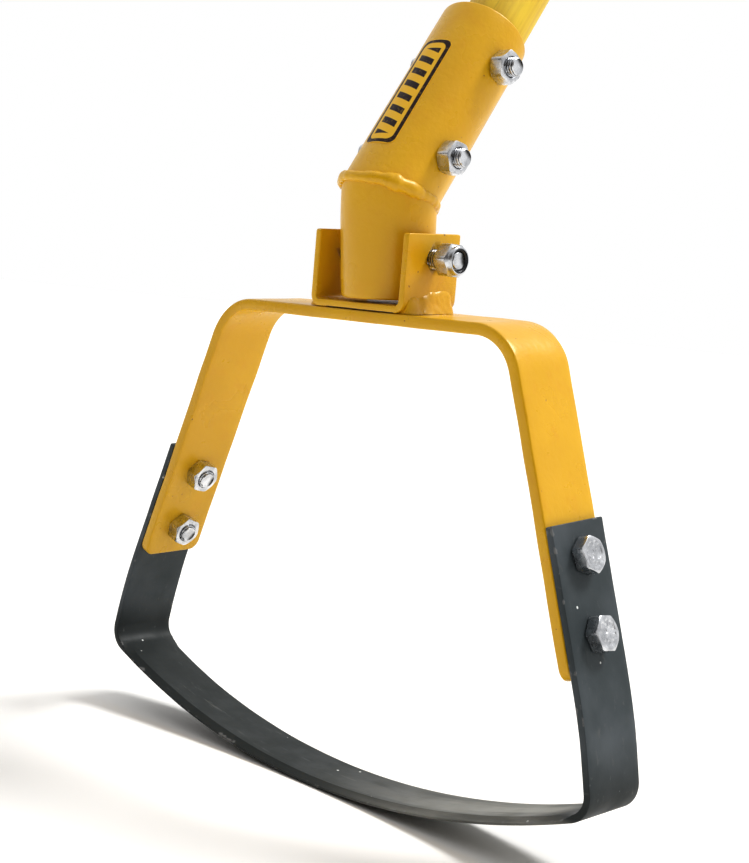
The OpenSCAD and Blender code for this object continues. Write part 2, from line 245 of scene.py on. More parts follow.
def uneven(rings, height, size, seed):
    """Rings with the slight waviness of rolled or hand-worked metal."""
    out = []
    for ring in rings:
        moved = []
        for x, y, z, wear_and_shade in ring:
            a = height * lumps(x, y, z, size, seed)
            b = height * lumps(z, x, y, size, seed + 7)
            moved.append((x + a, y + b, z + a * 0.6, wear_and_shade))
        out.append(moved)
    return out


def tipped(rings, lean=0.0):
    """Rings in the yoke's frame, raised towards the back to stay square to the stub, less so lower down.

    lean is how far they also come forward for each mm of height."""
    slope = math.tan(math.radians(STUB_TIP))
    out = []
    for ring in rings:
        height = sum(p[2] for p in ring) / len(ring)
        k = slope * min(1.0, max(0.0, (height - EVEN_BELOW) / (TIPPED_ABOVE - EVEN_BELOW)))
        out.append([(x, y - lean * z, z + k * y, wear_and_shade) for x, y, z, wear_and_shade in ring])
    return out


LEG_DIR = (math.sin(math.radians(LEG_FLARE)), -math.cos(math.radians(LEG_FLARE)))
LEG_OUT = (-LEG_DIR[1], LEG_DIR[0])


def down_leg(distance, out):
    """A point beside a leg: a distance down it and a distance outside its outer face."""
    return (YOKE_HALF + LEG_DIR[0] * distance + LEG_OUT[0] * out, LEG_DIR[1] * distance + LEG_OUT[1] * out)


def polar(centre, radius, degrees):
    a = math.radians(degrees)
    return (centre[0] + radius * math.cos(a), centre[1] + radius * math.sin(a))


def yoke_path():
    """Over the yoke's top, round its shoulders and down its legs."""
    shoulder = (YOKE_HALF - SHOULDER_R * math.tan(math.radians((90 - LEG_FLARE) / 2)), -SHOULDER_R)
    return both_halves([(0, 0, 0, 1)] + arc(shoulder, SHOULDER_R, 90, LEG_FLARE, 20)
                       + [(*down_leg(LEG_LEN, 0), *LEG_OUT)])


def blade_path():
    """The blade's path, and how high its bottom run reaches."""
    side_end_angle = LEG_FLARE - SIDE_TURN
    side_centre = polar(down_leg(BLADE_STRAIGHT, BLADE_T), -SIDE_R, LEG_FLARE)
    corner_centre = polar(side_centre, SIDE_R - CORNER_R, side_end_angle)
    corner_end = polar(corner_centre, CORNER_R, BOTTOM_RISE - 90)
    bottom_r = corner_end[0] / math.sin(math.radians(BOTTOM_RISE))
    bottom_centre = (0, corner_end[1] + bottom_r * math.cos(math.radians(BOTTOM_RISE)))
    path = (arc(bottom_centre, bottom_r, -90, BOTTOM_RISE - 90, 24)
            + arc(corner_centre, CORNER_R, BOTTOM_RISE - 90, side_end_angle, 14)[1:]
            + arc(side_centre, SIDE_R, side_end_angle, LEG_FLARE, 6)[1:]
            + [(*down_leg(BLADE_TOP, BLADE_T), *LEG_OUT)])
    return both_halves(path), corner_end


def bracket_path():
    """Under the bracket's base and up the outside of its ears."""
    bend = EAR_BEND + SHEET_T
    return both_halves([(0, 0, 0, -1)] + arc((EAR_FOOT, bend), bend, -90, 0, 10)
                       + [(EAR_OUT, EAR_H, 1, 0)])


# Round things. A profile is a list of (radius, height) and is turned about z.

def turned(profile, count=96, wear_and_shade=()):
    """Rings round z, one for each profile point. wear is the numbers of the points on an exposed edge."""
    angles = [2 * math.pi * i / count for i in range(count)]
    return [[(r * math.cos(a), r * math.sin(a), z, 1.0 if k in wear_and_shade else 0.0) for a in angles]
            for k, (r, z) in enumerate(profile)]


def quarter_round(r, z, radius, start, steps=5):
    """Profile points of a rounded edge about (r, z), over a quarter turn from the angle start."""
    return [(r + radius * math.cos(math.radians(start + 90 * i / steps)),
             z + radius * math.sin(math.radians(start + 90 * i / steps))) for i in range(steps + 1)]


def hexagon_points():
    """A hexagon with slightly rounded corners, as (angle, radius), 12 points to a side."""
    points = []
    for k in range(6):
        for i in range(12):
            off = -30 + 60 * i / 12
            radius = FLATS / 2 / math.cos(math.radians(off))
            points.append((math.radians(60 * k + off), radius - (0.22 if i == 0 else 0)))
    return points


HEX = hexagon_points()
CONE_TAN = math.tan(math.radians(30))
FACE_R = FLATS / 2 - 0.2


def hex_ring(z, face_z, shrink=0.0):
    """Ring round a hexagon at z, or where the 30 degree cone from the face at face_z cuts it."""
    ring = []
    for a, r in HEX:
        edge, wear_and_shade = z, 0.0
        if face_z is not None:
            cut = max(0.0, (r - FACE_R)) * CONE_TAN
            edge, wear_and_shade = face_z - math.copysign(cut, face_z - z), 1.0
        ring.append(((r - shrink) * math.cos(a), (r - shrink) * math.sin(a), edge, wear_and_shade))
    return ring


def circle_ring(r, z, wear_and_shade=0.0):
    """Ring round a circle at z, with as many points as hex_ring's."""
    return [(r * math.cos(a), r * math.sin(a), z, wear_and_shade) for a, _ in HEX]


def thread_rings(start, stop, end_chamfer):
    """Rings of a real helical thread between two heights, tapered at its end."""
    count = int((stop - start) / THREAD_PITCH * 8)
    rings = []
    for i in range(count + 1):
        z = start + (stop - start) * i / count
        ring = []
        for a, _ in HEX:
            phase = (z / THREAD_PITCH - a / (2 * math.pi)) % 1
            crest = min(1.0, 2.6 * abs(phase - 0.5) * 2 - 0.35)
            r = BOLT_D / 2 - THREAD_DEPTH * (1 - max(0.0, crest)) * min(1.0, (z - start) / THREAD_PITCH)
            r = min(r, BOLT_D / 2 - end_chamfer + (stop - z))
            # Points in the thread's grooves are marked below 0, which the zinc darkens as painted shade.
            ring.append((r * math.cos(a), r * math.sin(a), z, min(0.3, 1.3 * max(0.0, crest) - 1)))
        rings.append(ring)
    return rings


def head_face_rings():
    """A bolt head's dished top, with low raised marks on it that spell nothing."""
    rings, dish, mark_h = [], 0.32, 0.26
    for k in range(10):
        ring = circle_ring(0.4 + 0.46 * k, 0)
        marks = [max(0.0, min(1.0, 6 * (lumps(x, y, 0, 1.5, 3) - 0.08))) for x, y, _, _ in ring]
        rings.append([(x, y, -HEAD_H + dish - mark_h * mark, 0.4 * mark)
                      for (x, y, _, _), mark in zip(ring, marks)])
    return rings


def bolt_rings(length, threaded):
    """Hexagon-head bolt along +z, the underside of its head at 0."""
    rings = head_face_rings()
    rings += [circle_ring(FACE_R - 1.3, -HEAD_H, 0.5), circle_ring(FACE_R - 0.15, -HEAD_H, 0.5),
             hex_ring(0, -HEAD_H, 0.06), hex_ring(-HEAD_H / 2, None),
             hex_ring(-0.25, None), circle_ring(FACE_R, 0), circle_ring(BOLT_D / 2 + 0.2, 0),
             circle_ring(BOLT_D / 2, 0.2), circle_ring(BOLT_D / 2, length - threaded)]
    return rings + thread_rings(length - threaded, length, 0.7) + [circle_ring(0.4, length)]


def nut_rings():
    """Plain nut along +z from 0, chamfered at both ends, with a countersunk bore."""
    return [circle_ring(BORE_R + 0.55, 0), circle_ring(FACE_R - 0.1, 0, 0.5), hex_ring(NUT_H, 0, 0.06),
            hex_ring(NUT_H / 2, None), hex_ring(0, NUT_H, 0.06), circle_ring(FACE_R - 0.1, NUT_H, 0.5),
            circle_ring(BORE_R + 0.6, NUT_H), circle_ring(BORE_R + 0.45, NUT_H - 0.12),
            circle_ring(BORE_R, NUT_H - 0.6), circle_ring(BORE_R, 0.5)]


def lock_nut_rings():
    """Lock nut along +z from 0: a hexagon, then a round collar that curls over the nylon ring."""
    collar, top = COLLAR_D / 2, LOCK_HEX_H + LOCK_COLLAR_H
    rings = [circle_ring(BORE_R + 0.5, 0), circle_ring(FACE_R - 0.1, 0, 0.5), hex_ring(LOCK_HEX_H, 0, 0.06),
             hex_ring(LOCK_HEX_H / 2, None), hex_ring(0, LOCK_HEX_H, 0.06),
             circle_ring(collar + 0.1, LOCK_HEX_H), circle_ring(collar - 0.15, LOCK_HEX_H + 0.2)]
    rings += [circle_ring(r, z, 0.3) for r, z in
              quarter_round(collar - 1.15, top - 1.15, 1.0, 0)[1:]]
    rings += [circle_ring(RING_D / 2 - 0.35, top - 0.2), circle_ring(RING_D / 2, top - 0.7),
              circle_ring(RING_D / 2, LOCK_HEX_H - 0.1), circle_ring(BORE_R, LOCK_HEX_H - 0.1),
              circle_ring(BORE_R, 0.4)]
    return rings


def nylon_ring_rings():
    """The lock nut's nylon ring, standing on the hexagon inside the collar."""
    inner, outer, top = BOLT_D / 2 + 0.05, RING_D / 2 - 0.05, LOCK_HEX_H + RING_H
    return [circle_ring(inner, LOCK_HEX_H), circle_ring(outer, LOCK_HEX_H), circle_ring(outer, top - 0.35),
            circle_ring(outer - 0.3, top), circle_ring(inner + 0.35, top), circle_ring(inner, top - 0.4)]


# Tubes and welds

def oblique(rings, height):
    """A tube cut on a slant, from rings at heights t of 0 to 1. height(x, y, t) is where t lies there."""
    return [[(x, y, height(x, y, t), wear_and_shade) for x, y, t, wear_and_shade in ring] for ring in rings]


def socket_rings():
    """Round tube from the slanted joint at the bottom up to its mouth, with a softened rim."""
    inner = TUBE_R - TUBE_WALL

    def height(x, y, t):
        low = y * MITRE_SLOPE
        return low + (SOCKET_LEN - low) * t

    near = 1 - SOFT / SOCKET_LEN
    profile = [(TUBE_R, t) for t in (0, 0.1, 0.25, 0.4, 0.55, 0.7, 0.85, 0.95, near)]
    for r, z in quarter_round(TUBE_R - SOFT, 0, SOFT, 0)[1:]:
        profile.append((r, near + z / SOCKET_LEN))
    profile += [(inner + 0.4, 1), (inner + 0.1, 1 - 0.15 / SOCKET_LEN), (inner, 1 - 0.5 / SOCKET_LEN),
                (inner, 0.5), (inner, 0)]
    return oblique(turned(profile, wear_and_shade=range(9, 16)), height)


def stub_rings():
    """Pivot stub: a little narrower at its lower end, and cut on the same slant at its top."""
    low, span = STUB_LOW_D / 2, STUB_UP + STUB_DOWN
    inner = low - TUBE_WALL

    def height(x, y, t):
        return -STUB_DOWN + (STUB_UP - y * MITRE_SLOPE + STUB_DOWN) * t

    taper = (STUB_UP / 2 + STUB_DOWN) / span
    profile = [(inner, 1), (inner, 0.4), (inner, 0.03), (inner + 0.5, 0.002)]
    for r, z in quarter_round(low - SOFT, SOFT, SOFT, -90):
        profile.append((r, z / span))
    profile += [(low + (TUBE_R - low) * k, taper * k) for k in (0.25, 0.5, 0.75, 0.95)]
    profile += [(TUBE_R, taper + 0.06), (TUBE_R, 0.85), (TUBE_R, 1)]
    return oblique(turned(profile, wear_and_shade=range(3, 9)), height)


def bead_rings():
    """Weld bead round the slanted joint: a low uneven ridge, with a heavier lump where each run ended.

    A run's end is (angle round the joint, spread, height)."""
    rings, count, around, run_ends = [], 240, 16, ((3.2, 0.22, 0.9), (5.6, 0.2, 0.6))
    stretch = 1 / math.cos(math.radians(MITRE_TILT))
    for i in range(count):
        a = 2 * math.pi * i / count
        cx, cy = TUBE_R * math.cos(a), TUBE_R * stretch * math.sin(a)
        ripple = 0.10 * abs(math.sin(a * 13 + 3 * lumps(cx, cy, 0, 9, 2)))
        lump = sum(h * math.exp(-((a - at) / spread) ** 2) for at, spread, h in run_ends)
        size = 1.55 + ripple + lump + 0.55 * lumps(cx, cy, 4, 8, 1) + 0.30 * lumps(cx, cy, 9, 3, 5)
        drift = 1.1 * lumps(cx, cy, 2, 12, 3)
        ring = []
        for k in range(around):
            b = 2 * math.pi * k / around
            r = size * (1 + 0.12 * lumps(cx + 3 * math.cos(b), cy, 3 * math.sin(b), 2.6, 4))
            scale = 1 + (r * math.cos(b) * 0.95 - 0.1) / TUBE_R
            ring.append((cx * scale, cy * scale, drift + r * math.sin(b) * 1.5, 0.0))
        rings.append(ring)
    return rings


def foot_weld_rings(seed):
    """Fillet of weld in the corner between an ear's foot and the yoke: lumpy at the front, fuller behind."""
    rings, steps = [], 60
    start, stop = FOOT_WELD_FRONT - BAR_W / 2, BAR_W / 2 - FOOT_WELD_BACK
    for i in range(steps + 1):
        y = start + (stop - start) * i / steps
        fade = math.sqrt(max(0.02, 1 - abs(2 * i / steps - 1) ** 12))
        behind = min(1.0, max(0.0, (y + 7) / 12))
        rough = 1.3 - 0.4 * behind
        out = (FOOT_WELD * (0.80 + 0.15 * behind) + rough * 0.5 * lumps(y, 0, 0, 3.5, seed)) * fade
        up = (FOOT_WELD * (1.7 + 0.6 * behind) + 1.4 * rough * lumps(0, y, 0, 4, seed + 2)) * fade
        ring = [(EAR_FOOT, y, 0.02, 0.0), (EAR_OUT + out, y, 0.02, 0.0)]
        for k in range(1, 12):
            t = k / 12
            x = EAR_OUT + out * (1 - t) ** 1.15
            z = up * t ** 1.15
            push = rough * (0.35 + 0.5 * lumps(x, y, z, 2.5, seed + 4))
            ring.append((x + push * t * 0.7, y, z + push * (1 - t) * 0.7, 0.0))
        ring += [(EAR_OUT - 0.2, y, up, 0.0), (EAR_OUT - SHEET_T / 2, y, up * 0.6, 0.0)]
        rings.append(ring)
    return rings


def label_rings():
    """Thin label bent round the socket's front, from rows of points across its outside and back again."""
    rings, rows, across = [], 40, 10
    for i in range(rows + 1):
        z = -LABEL_LEN / 2 + LABEL_LEN * i / rows
        from_end = LABEL_LEN / 2 - abs(z)
        cut = LABEL_CORNER - math.sqrt(max(0, LABEL_CORNER ** 2 - max(0, LABEL_CORNER - from_end) ** 2))
        half = LABEL_W / 2 - cut
        front, back = [], []
        for k in range(across + 1):
            a = half * (2 * k / across - 1) / TUBE_R
            front.append((TUBE_R + LABEL_T, a))
            back.append((TUBE_R + 0.02, a))
        rings.append([(r * math.sin(a), -r * math.cos(a), LABEL_UP + z, 0.0) for r, a in front + back[::-1]])
    return rings


def handle_rings():
    """Turned wooden handle, a little out of true, with a rounded far end."""
    out = HANDLE_LEN - (SOCKET_LEN - HANDLE_FOOT)
    foot, r = HANDLE_FOOT - SOCKET_LEN, HANDLE_D / 2
    steps = 120
    profile = [(2, foot), (r - PLANED - 1, foot), (r - PLANED, foot + 1), (r - PLANED, -1), (r - 0.02, 0)]
    profile += [(r, (out - HANDLE_ROUND) * i / steps) for i in range(1, steps + 1)]
    profile += quarter_round(r - HANDLE_ROUND, out - HANDLE_ROUND, HANDLE_ROUND, 0, 8)[1:]
    rings = []
    for ring in turned(profile, 64):
        shaved = []
        for x, y, z, wear_and_shade in ring:
            k = 1 - 0.007 * (0.5 + 0.5 * lumps(x, y, z / 9, 11, 2))
            shaved.append((x * k, y * k, z, wear_and_shade))
        rings.append(shaved)
    return rings


# Node trees

def add(tree, kind, inputs=None, **settings):
    """A new node. Each input is a plain value or another node's output."""
    node = tree.nodes.new("ShaderNode" + kind)
    for name, value in settings.items():
        setattr(node, name, value)
    for name, value in (inputs or {}).items():
        if isinstance(value, bpy.types.NodeSocket):
            tree.links.new(value, node.inputs[name])
        else:
            node.inputs[name].default_value = value
    return node


def start_material(name):
    """A new material's name, node tree, shader and object coordinates, in metres in the row frame."""
    material = bpy.data.materials.new(name)
    material.use_nodes = True
    tree = material.node_tree
    where = add(tree, "TexCoord").outputs["Object"]
    return material, tree, tree.nodes["Principled BSDF"], where


def grain(tree, where, scale, detail=3.0, rough=0.5):
    """Noise, 0 to 1, whose features are about 1 / scale metres across."""
    return add(tree, "TexNoise", {"Vector": where, "Scale": scale, "Detail": detail,
                                  "Roughness": rough}).outputs["Fac"]


def fit(tree, value, low, high, to_low=0.0, to_high=1.0):
    """value between low and high taken smoothly to between to_low and to_high."""
    return add(tree, "MapRange", {"Value": value, "From Min": low, "From Max": high, "To Min": to_low,
                                  "To Max": to_high}, interpolation_type="SMOOTHSTEP").outputs["Result"]


def sums(tree, operation, a, b):
    """What a Math node makes of a and b."""
    return add(tree, "Math", {0: a, 1: b}, operation=operation).outputs[0]


def colours(tree, amount, a, b):
    """Colour a where amount is 0, b where it is 1 and a mix between."""
    return add(tree, "Mix", {0: amount, 6: a, 7: b}, data_type="RGBA").outputs[2]


def bumps(tree, shader, layers):
    """Bump on a shader from (height, depth in metres) layers."""
    normal = None
    for height, depth in layers:
        inputs = {"Height": height, "Distance": depth}
        if normal:
            inputs["Normal"] = normal
        normal = add(tree, "Bump", inputs).outputs["Normal"]
    tree.links.new(normal, shader.inputs["Normal"])


def connect(tree, shader, **outputs):
    """Set a shader's inputs, named with _ for a space, each to a plain value or another node's output."""
    for name, value in outputs.items():
        socket = shader.inputs[name.replace("_", " ")]
        if isinstance(value, bpy.types.NodeSocket):
            tree.links.new(value, socket)
        else:
            socket.default_value = value


def wear_and_shade_of(tree):
    """The mesh's marks of worn edges and of painted shade, as the comment above skin() explains them."""
    return add(tree, "Attribute", attribute_name="wear_and_shade").outputs["Fac"]


def paint(name):
    """Yellow enamel on steel: nearly even, with orange peel, pinholes and chipped edges, and painted shade
    darkening its seams.
    """
    material, tree, shader, where = start_material(name)
    base = colours(tree, fit(tree, grain(tree, where, 22), 0.35, 0.65),
                   (0.68, 0.390, 0.007, 1), (0.73, 0.430, 0.009, 1))
    base = colours(tree, fit(tree, grain(tree, where, 130, 2), 0.50, 0.75, 0.0, 0.3), base,
                   (0.68, 0.34, 0.008, 1))
    pits = fit(tree, grain(tree, where, 460, 1), 0.79, 0.82)
    base = colours(tree, pits, base, (0.40, 0.17, 0.015, 1))
    wear_and_shade = wear_and_shade_of(tree)
    chip = fit(tree, sums(tree, "ADD", grain(tree, where, 330, 3, 0.6), sums(tree, "MULTIPLY", wear_and_shade, 0.10)),
               0.79, 0.83)
    base = colours(tree, chip, base, (0.20, 0.09, 0.03, 1))
    # Painted shade: dark where the mesh is marked below 0, as along the bracket base's lower edges on the
    # yoke.
    painted_seam_shade = fit(tree, sums(tree, "ADD", wear_and_shade, sums(tree, "MULTIPLY", grain(tree, where, 240), 0.9)),
               -0.05, -0.45)
    base = colours(tree, painted_seam_shade, base, (0.07, 0.035, 0.02, 1))
    rough = fit(tree, grain(tree, where, 60, 3), 0.3, 0.7, 0.25, 0.38)
    connect(tree, shader, Base_Color=base, Roughness=rough)
    bumps(tree, shader, [(grain(tree, where, 420, 2), 0.00012), (chip, -0.00012), (pits, -0.0001)])
    return material


def charcoal(name):
    """Dark oxide on spring steel: scuffs along the blade, pale specks, lighter edges, a darker lower run
    and a rubbed patch at its right-hand end."""
    material, tree, shader, where = start_material(name)
    base = colours(tree, fit(tree, grain(tree, where, 28, 4), 0.35, 0.68),
                   (0.044, 0.056, 0.061, 1), (0.086, 0.100, 0.110, 1))
    place = add(tree, "SeparateXYZ", {"Vector": where}).outputs
    base = colours(tree, fit(tree, place["Z"], -0.265, -0.292, 0.0, 0.85), base, (0.010, 0.014, 0.013, 1))
    streak = add(tree, "Mapping", {"Vector": where, "Scale": (0.12, 1, 0.5)}).outputs["Vector"]
    scuff = fit(tree, grain(tree, streak, 420, 4, 0.65), 0.60, 0.74, 0.0, 0.5)
    base = colours(tree, scuff, base, (0.12, 0.125, 0.12, 1))
    rubbed = sums(tree, "MULTIPLY", fit(tree, place["X"], -0.02, 0.10), fit(tree, place["Z"], -0.295, -0.30))
    patchy = sums(tree, "MULTIPLY", rubbed, fit(tree, grain(tree, streak, 90, 5, 0.6), 0.3, 0.55, 0.45, 1.0))
    base = colours(tree, patchy, base, (0.23, 0.23, 0.21, 1))
    cells = add(tree, "TexVoronoi", {"Vector": where, "Scale": 150.0})
    dot = fit(tree, cells.outputs["Distance"], 0.06, 0.10, 1.0, 0.0)
    chosen = fit(tree, add(tree, "SeparateColor", {"Color": cells.outputs["Color"]}).outputs[0], 0.80, 0.82)
    specks = sums(tree, "MULTIPLY", dot, chosen)
    base = colours(tree, specks, base, (0.80, 0.82, 0.80, 1))
    worn = sums(tree, "MULTIPLY", wear_and_shade_of(tree), 0.2)
    edge = fit(tree, sums(tree, "ADD", grain(tree, where, 190, 4), worn), 0.76, 0.86, 0.0, 0.7)
    base = colours(tree, edge, base, (0.20, 0.20, 0.20, 1))
    rough = fit(tree, grain(tree, where, 70, 4), 0.3, 0.7, 0.46, 0.62)
    connect(tree, shader, Base_Color=base, Roughness=rough, Specular_IOR_Level=0.36)
    bumps(tree, shader, [(grain(tree, where, 300, 4, 0.6), 0.00006), (specks, 0.00015)])
    return material


def zinc(name):
    """Bright zinc plating: metal with faint cloudiness and dull spots, and painted shade in its thread
    grooves.
    """
    material, tree, shader, where = start_material(name)
    cloud = grain(tree, where, 200, 3, 0.5)
    base = colours(tree, fit(tree, cloud, 0.35, 0.7), (0.50, 0.51, 0.53, 1), (0.74, 0.75, 0.77, 1))
    dull = fit(tree, grain(tree, where, 420, 2), 0.60, 0.75, 0.0, 0.5)
    base = colours(tree, dull, base, (0.30, 0.30, 0.31, 1))
    # Painted shade: dark in the thread grooves, which the mesh marks below 0.
    thread_groove_shade = fit(tree, wear_and_shade_of(tree), 0.0, -0.8)
    base = colours(tree, thread_groove_shade, base, (0.035, 0.033, 0.030, 1))
    rough = fit(tree, grain(tree, where, 380, 3), 0.3, 0.7, 0.18, 0.32)
    connect(tree, shader, Base_Color=base, Roughness=rough, Metallic=1.0)
    bumps(tree, shader, [(grain(tree, where, 700, 3, 0.6), 0.000015), (cloud, 0.00004)])
    return material


def bare_steel(name):
    """Machined steel, slightly mottled."""
    material, tree, shader, where = start_material(name)
    base = colours(tree, grain(tree, where, 300, 4), (0.30, 0.29, 0.28, 1), (0.50, 0.50, 0.49, 1))
    connect(tree, shader, Base_Color=base, Roughness=fit(tree, grain(tree, where, 500), 0.3, 0.7, 0.3, 0.5),
            Metallic=1.0)
    bumps(tree, shader, [(grain(tree, where, 800), 0.00003)])
    return material


def nylon(name):
    """Near-black nylon with a faint texture."""
    material, tree, shader, where = start_material(name)
    base = colours(tree, grain(tree, where, 400, 3), (0.010, 0.012, 0.016, 1), (0.028, 0.032, 0.040, 1))
    connect(tree, shader, Base_Color=base, Roughness=fit(tree, grain(tree, where, 600), 0.3, 0.7, 0.3, 0.5))
    bumps(tree, shader, [(grain(tree, where, 900), 0.00004)])
    return material


def along_handle(tree, where, to_middle=(0, 0, 0)):
    """Coordinates turned to run along the handle, and moved by to_middle."""
    return add(tree, "Mapping", {"Vector": where, "Rotation": (math.radians(HANDLE_LEAN), 0, 0),
                                 "Location": to_middle}).outputs["Vector"]


def painted_wood(name):
    """Wood under thin yellow paint: the grain runs along the handle and shows through as olive streaks."""
    material, tree, shader, where = start_material(name)
    local = along_handle(tree, where)
    long = add(tree, "Mapping", {"Vector": local, "Scale": (1, 1, 0.045)}).outputs["Vector"]
    broad = grain(tree, long, 190, 4, 0.6)
    fine = grain(tree, long, 900, 3, 0.6)
    base = colours(tree, fit(tree, broad, 0.35, 0.65), (0.66, 0.44, 0.030, 1), (0.80, 0.58, 0.045, 1))
    base = colours(tree, fit(tree, fine, 0.55, 0.75, 0.0, 0.6), base, (0.50, 0.38, 0.03, 1))
    blotch = fit(tree, grain(tree, where, 45, 3), 0.55, 0.75, 0.0, 0.5)
    base = colours(tree, blotch, base, (0.72, 0.60, 0.10, 1))
    connect(tree, shader, Base_Color=base, Roughness=fit(tree, broad, 0.3, 0.7, 0.38, 0.55))
    bumps(tree, shader, [(fine, 0.0001), (broad, 0.00018)])
    return material


def decal(name):
    """Printed label: yellow with a dark rounded border and a plain row of slanted bars inside it."""
    material, tree, shader, where = start_material(name)
    local = along_handle(tree, where, (HANDLE_SHIFT[0] / 1000, HANDLE_SHIFT[1] / 1000,
                                       (SOCKET_LEN - LABEL_UP) / 1000))
    axes = add(tree, "SeparateXYZ", {"Vector": local}).outputs
    across = sums(tree, "MULTIPLY", axes["X"], 1000.0)
    along = sums(tree, "MULTIPLY", axes["Z"], 1000.0)

    def beyond(value, half):
        return sums(tree, "MAXIMUM", sums(tree, "SUBTRACT", sums(tree, "ABSOLUTE", value, 0.0), half), 0.0)

    def rounded_box(half_w, half_l):
        """1 inside a rounded rectangle, 0 outside it."""
        dx, dz = beyond(across, half_w - LABEL_CORNER), beyond(along, half_l - LABEL_CORNER)
        distance = sums(tree, "SQRT", sums(tree, "ADD", sums(tree, "MULTIPLY", dx, dx),
                                           sums(tree, "MULTIPLY", dz, dz)), 0.0)
        return fit(tree, distance, LABEL_CORNER - 0.1, LABEL_CORNER + 0.1, 1.0, 0.0)

    outer = rounded_box(LABEL_W / 2 - 0.3, LABEL_LEN / 2 - 0.4)
    inner = rounded_box(LABEL_W / 2 - 1.9, LABEL_LEN / 2 - 2.1)
    border = sums(tree, "SUBTRACT", outer, inner)
    slant = sums(tree, "ADD", along, sums(tree, "MULTIPLY", across, 0.35))
    bar = fit(tree, sums(tree, "PINGPONG", slant, 3.4), 1.75, 1.95)
    field = sums(tree, "MULTIPLY", fit(tree, sums(tree, "ABSOLUTE", across, 0.0), 4.3, 4.5, 1.0, 0.0),
                 fit(tree, sums(tree, "ABSOLUTE", along, 0.0), 23.4, 23.6, 1.0, 0.0))
    ink = sums(tree, "MAXIMUM", border, sums(tree, "MULTIPLY", bar, field))
    faded = sums(tree, "MULTIPLY", ink, fit(tree, grain(tree, where, 700, 3), 0.25, 0.45, 0.82, 1.0))
    ground = colours(tree, grain(tree, where, 120), (0.84, 0.50, 0.030, 1), (0.90, 0.56, 0.040, 1))
    base = colours(tree, faded, ground, (0.022, 0.008, 0.008, 1))
    connect(tree, shader, Base_Color=base, Roughness=fit(tree, grain(tree, where, 300), 0.3, 0.7, 0.34, 0.46),
            Specular_IOR_Level=0.25)
    bumps(tree, shader, [(ink, 0.00005), (grain(tree, where, 500), 0.00004)])
    return material


# The object

WOOD = (painted_wood("painted_wood"), "handle_wood")
PAINT = (paint("yellow_enamel"), "yellow_paint")
BLADE = (charcoal("dark_oxide"), "blade_steel")
ZINC = (zinc("zinc_plate"), "zinc")
NYLON = (nylon("black_nylon"), "nylon")
DECAL = (decal("printed_decal"), "label")
STEEL = bare_steel("machined_steel")


def build_handle_side():
    """Everything that rides on the handle's body. The pivot sleeve keeps its CAD shape."""
    make_piece("handle_turned", handle_rings(), ALONG_HANDLE, WOOD, TOOL, ["handle"])
    make_piece("socket_body", uneven(socket_rings(), 0.12, 14, 1), AT_SOCKET, PAINT, TOOL, ["socket_tube"],
               closed=True)
    make_piece("stub_body", uneven(stub_rings(), 0.15, 12, 2), AT_STUB, PAINT, TOOL, ["pivot_stub"],
               closed=True)
    make_piece("mitre_weld_bead", bead_rings(), AT_SOCKET @ turn(MITRE_TILT, "X"), PAINT, TOOL,
               ["socket_weld"], closed=True, sharp=70)
    make_piece("socket_decal", label_rings(), AT_SOCKET, DECAL, TOOL, ["socket_label"])
    for name, up, angle in (("lower", CROSS_BOLT_LOW, 25), ("upper", CROSS_BOLT_LOW + CROSS_BOLT_GAP, 10)):
        bolt = AT_SOCKET @ move(-TUBE_R, 0, up) @ turn(90, "Y")
        nut = AT_SOCKET @ move(TUBE_R, 0, up) @ turn(angle, "X") @ turn(90, "Y")
        make_piece(f"cross_bolt_{name}_body", bolt_rings(CROSS_BOLT_LEN, CROSS_THREAD), bolt, ZINC, TOOL,
                   [f"cross_bolt_{name}"])
        make_piece(f"cross_nut_{name}_body", nut_rings(), nut, ZINC, TOOL, [f"cross_nut_{name}"], closed=True)
    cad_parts["pivot_sleeve"].data.materials.clear()
    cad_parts["pivot_sleeve"].data.materials.append(STEEL)


def build_bracket():
    """The bracket, with painted shade along the lower edges of its base, where it stands on the yoke."""
    strip = make_strip_rings(bracket_path(), SHEET_T, SHEET_ROUND, SHEET_CORNER)
    # Points on the base's lower edges are marked -1, which the paint darkens as painted shade where it meets
    # the yoke.
    rings = [[(x, y, z, -1.0 if z < 0.45 and abs(x) < EAR_FOOT and abs(y) > BAR_W / 2 - 1 else wear_and_shade)
              for x, y, z, wear_and_shade in ring] for ring in uneven(strip, 0.1, 10, 3)]
    bracket = make_piece("bracket_body", tipped(rings, BRACKET_LEAN), AT_YOKE, PAINT, HEAD, ["bracket"])
    drill_hole(bracket)


def drill_hole(bracket):
    """Cut the pivot bolt's hole through both ears."""
    hole_r, reach = BOLT_D / 2 + 0.25, 40
    drill = bpy.data.meshes.new("drill")
    hole = turned([(0.5, -reach), (hole_r, -reach), (hole_r, reach), (0.5, reach)], 48)
    place = AT_HEAD @ turn(90, "Y")
    drill.from_pydata([place @ Vector(p[:3]) for ring in hole for p in ring], [], skin(hole, False))
    cutter = bpy.data.objects.new("drill", drill)
    bpy.context.scene.collection.objects.link(cutter)
    cut = bracket.modifiers.new("hole", "BOOLEAN")
    cut.operation, cut.object, cut.solver = "DIFFERENCE", cutter, "EXACT"
    bpy.context.view_layer.update()
    shape = bpy.data.meshes.new_from_object(bracket.evaluated_get(bpy.context.evaluated_depsgraph_get()))
    bracket.modifiers.clear()
    bracket.data = shape
    bpy.data.objects.remove(cutter)


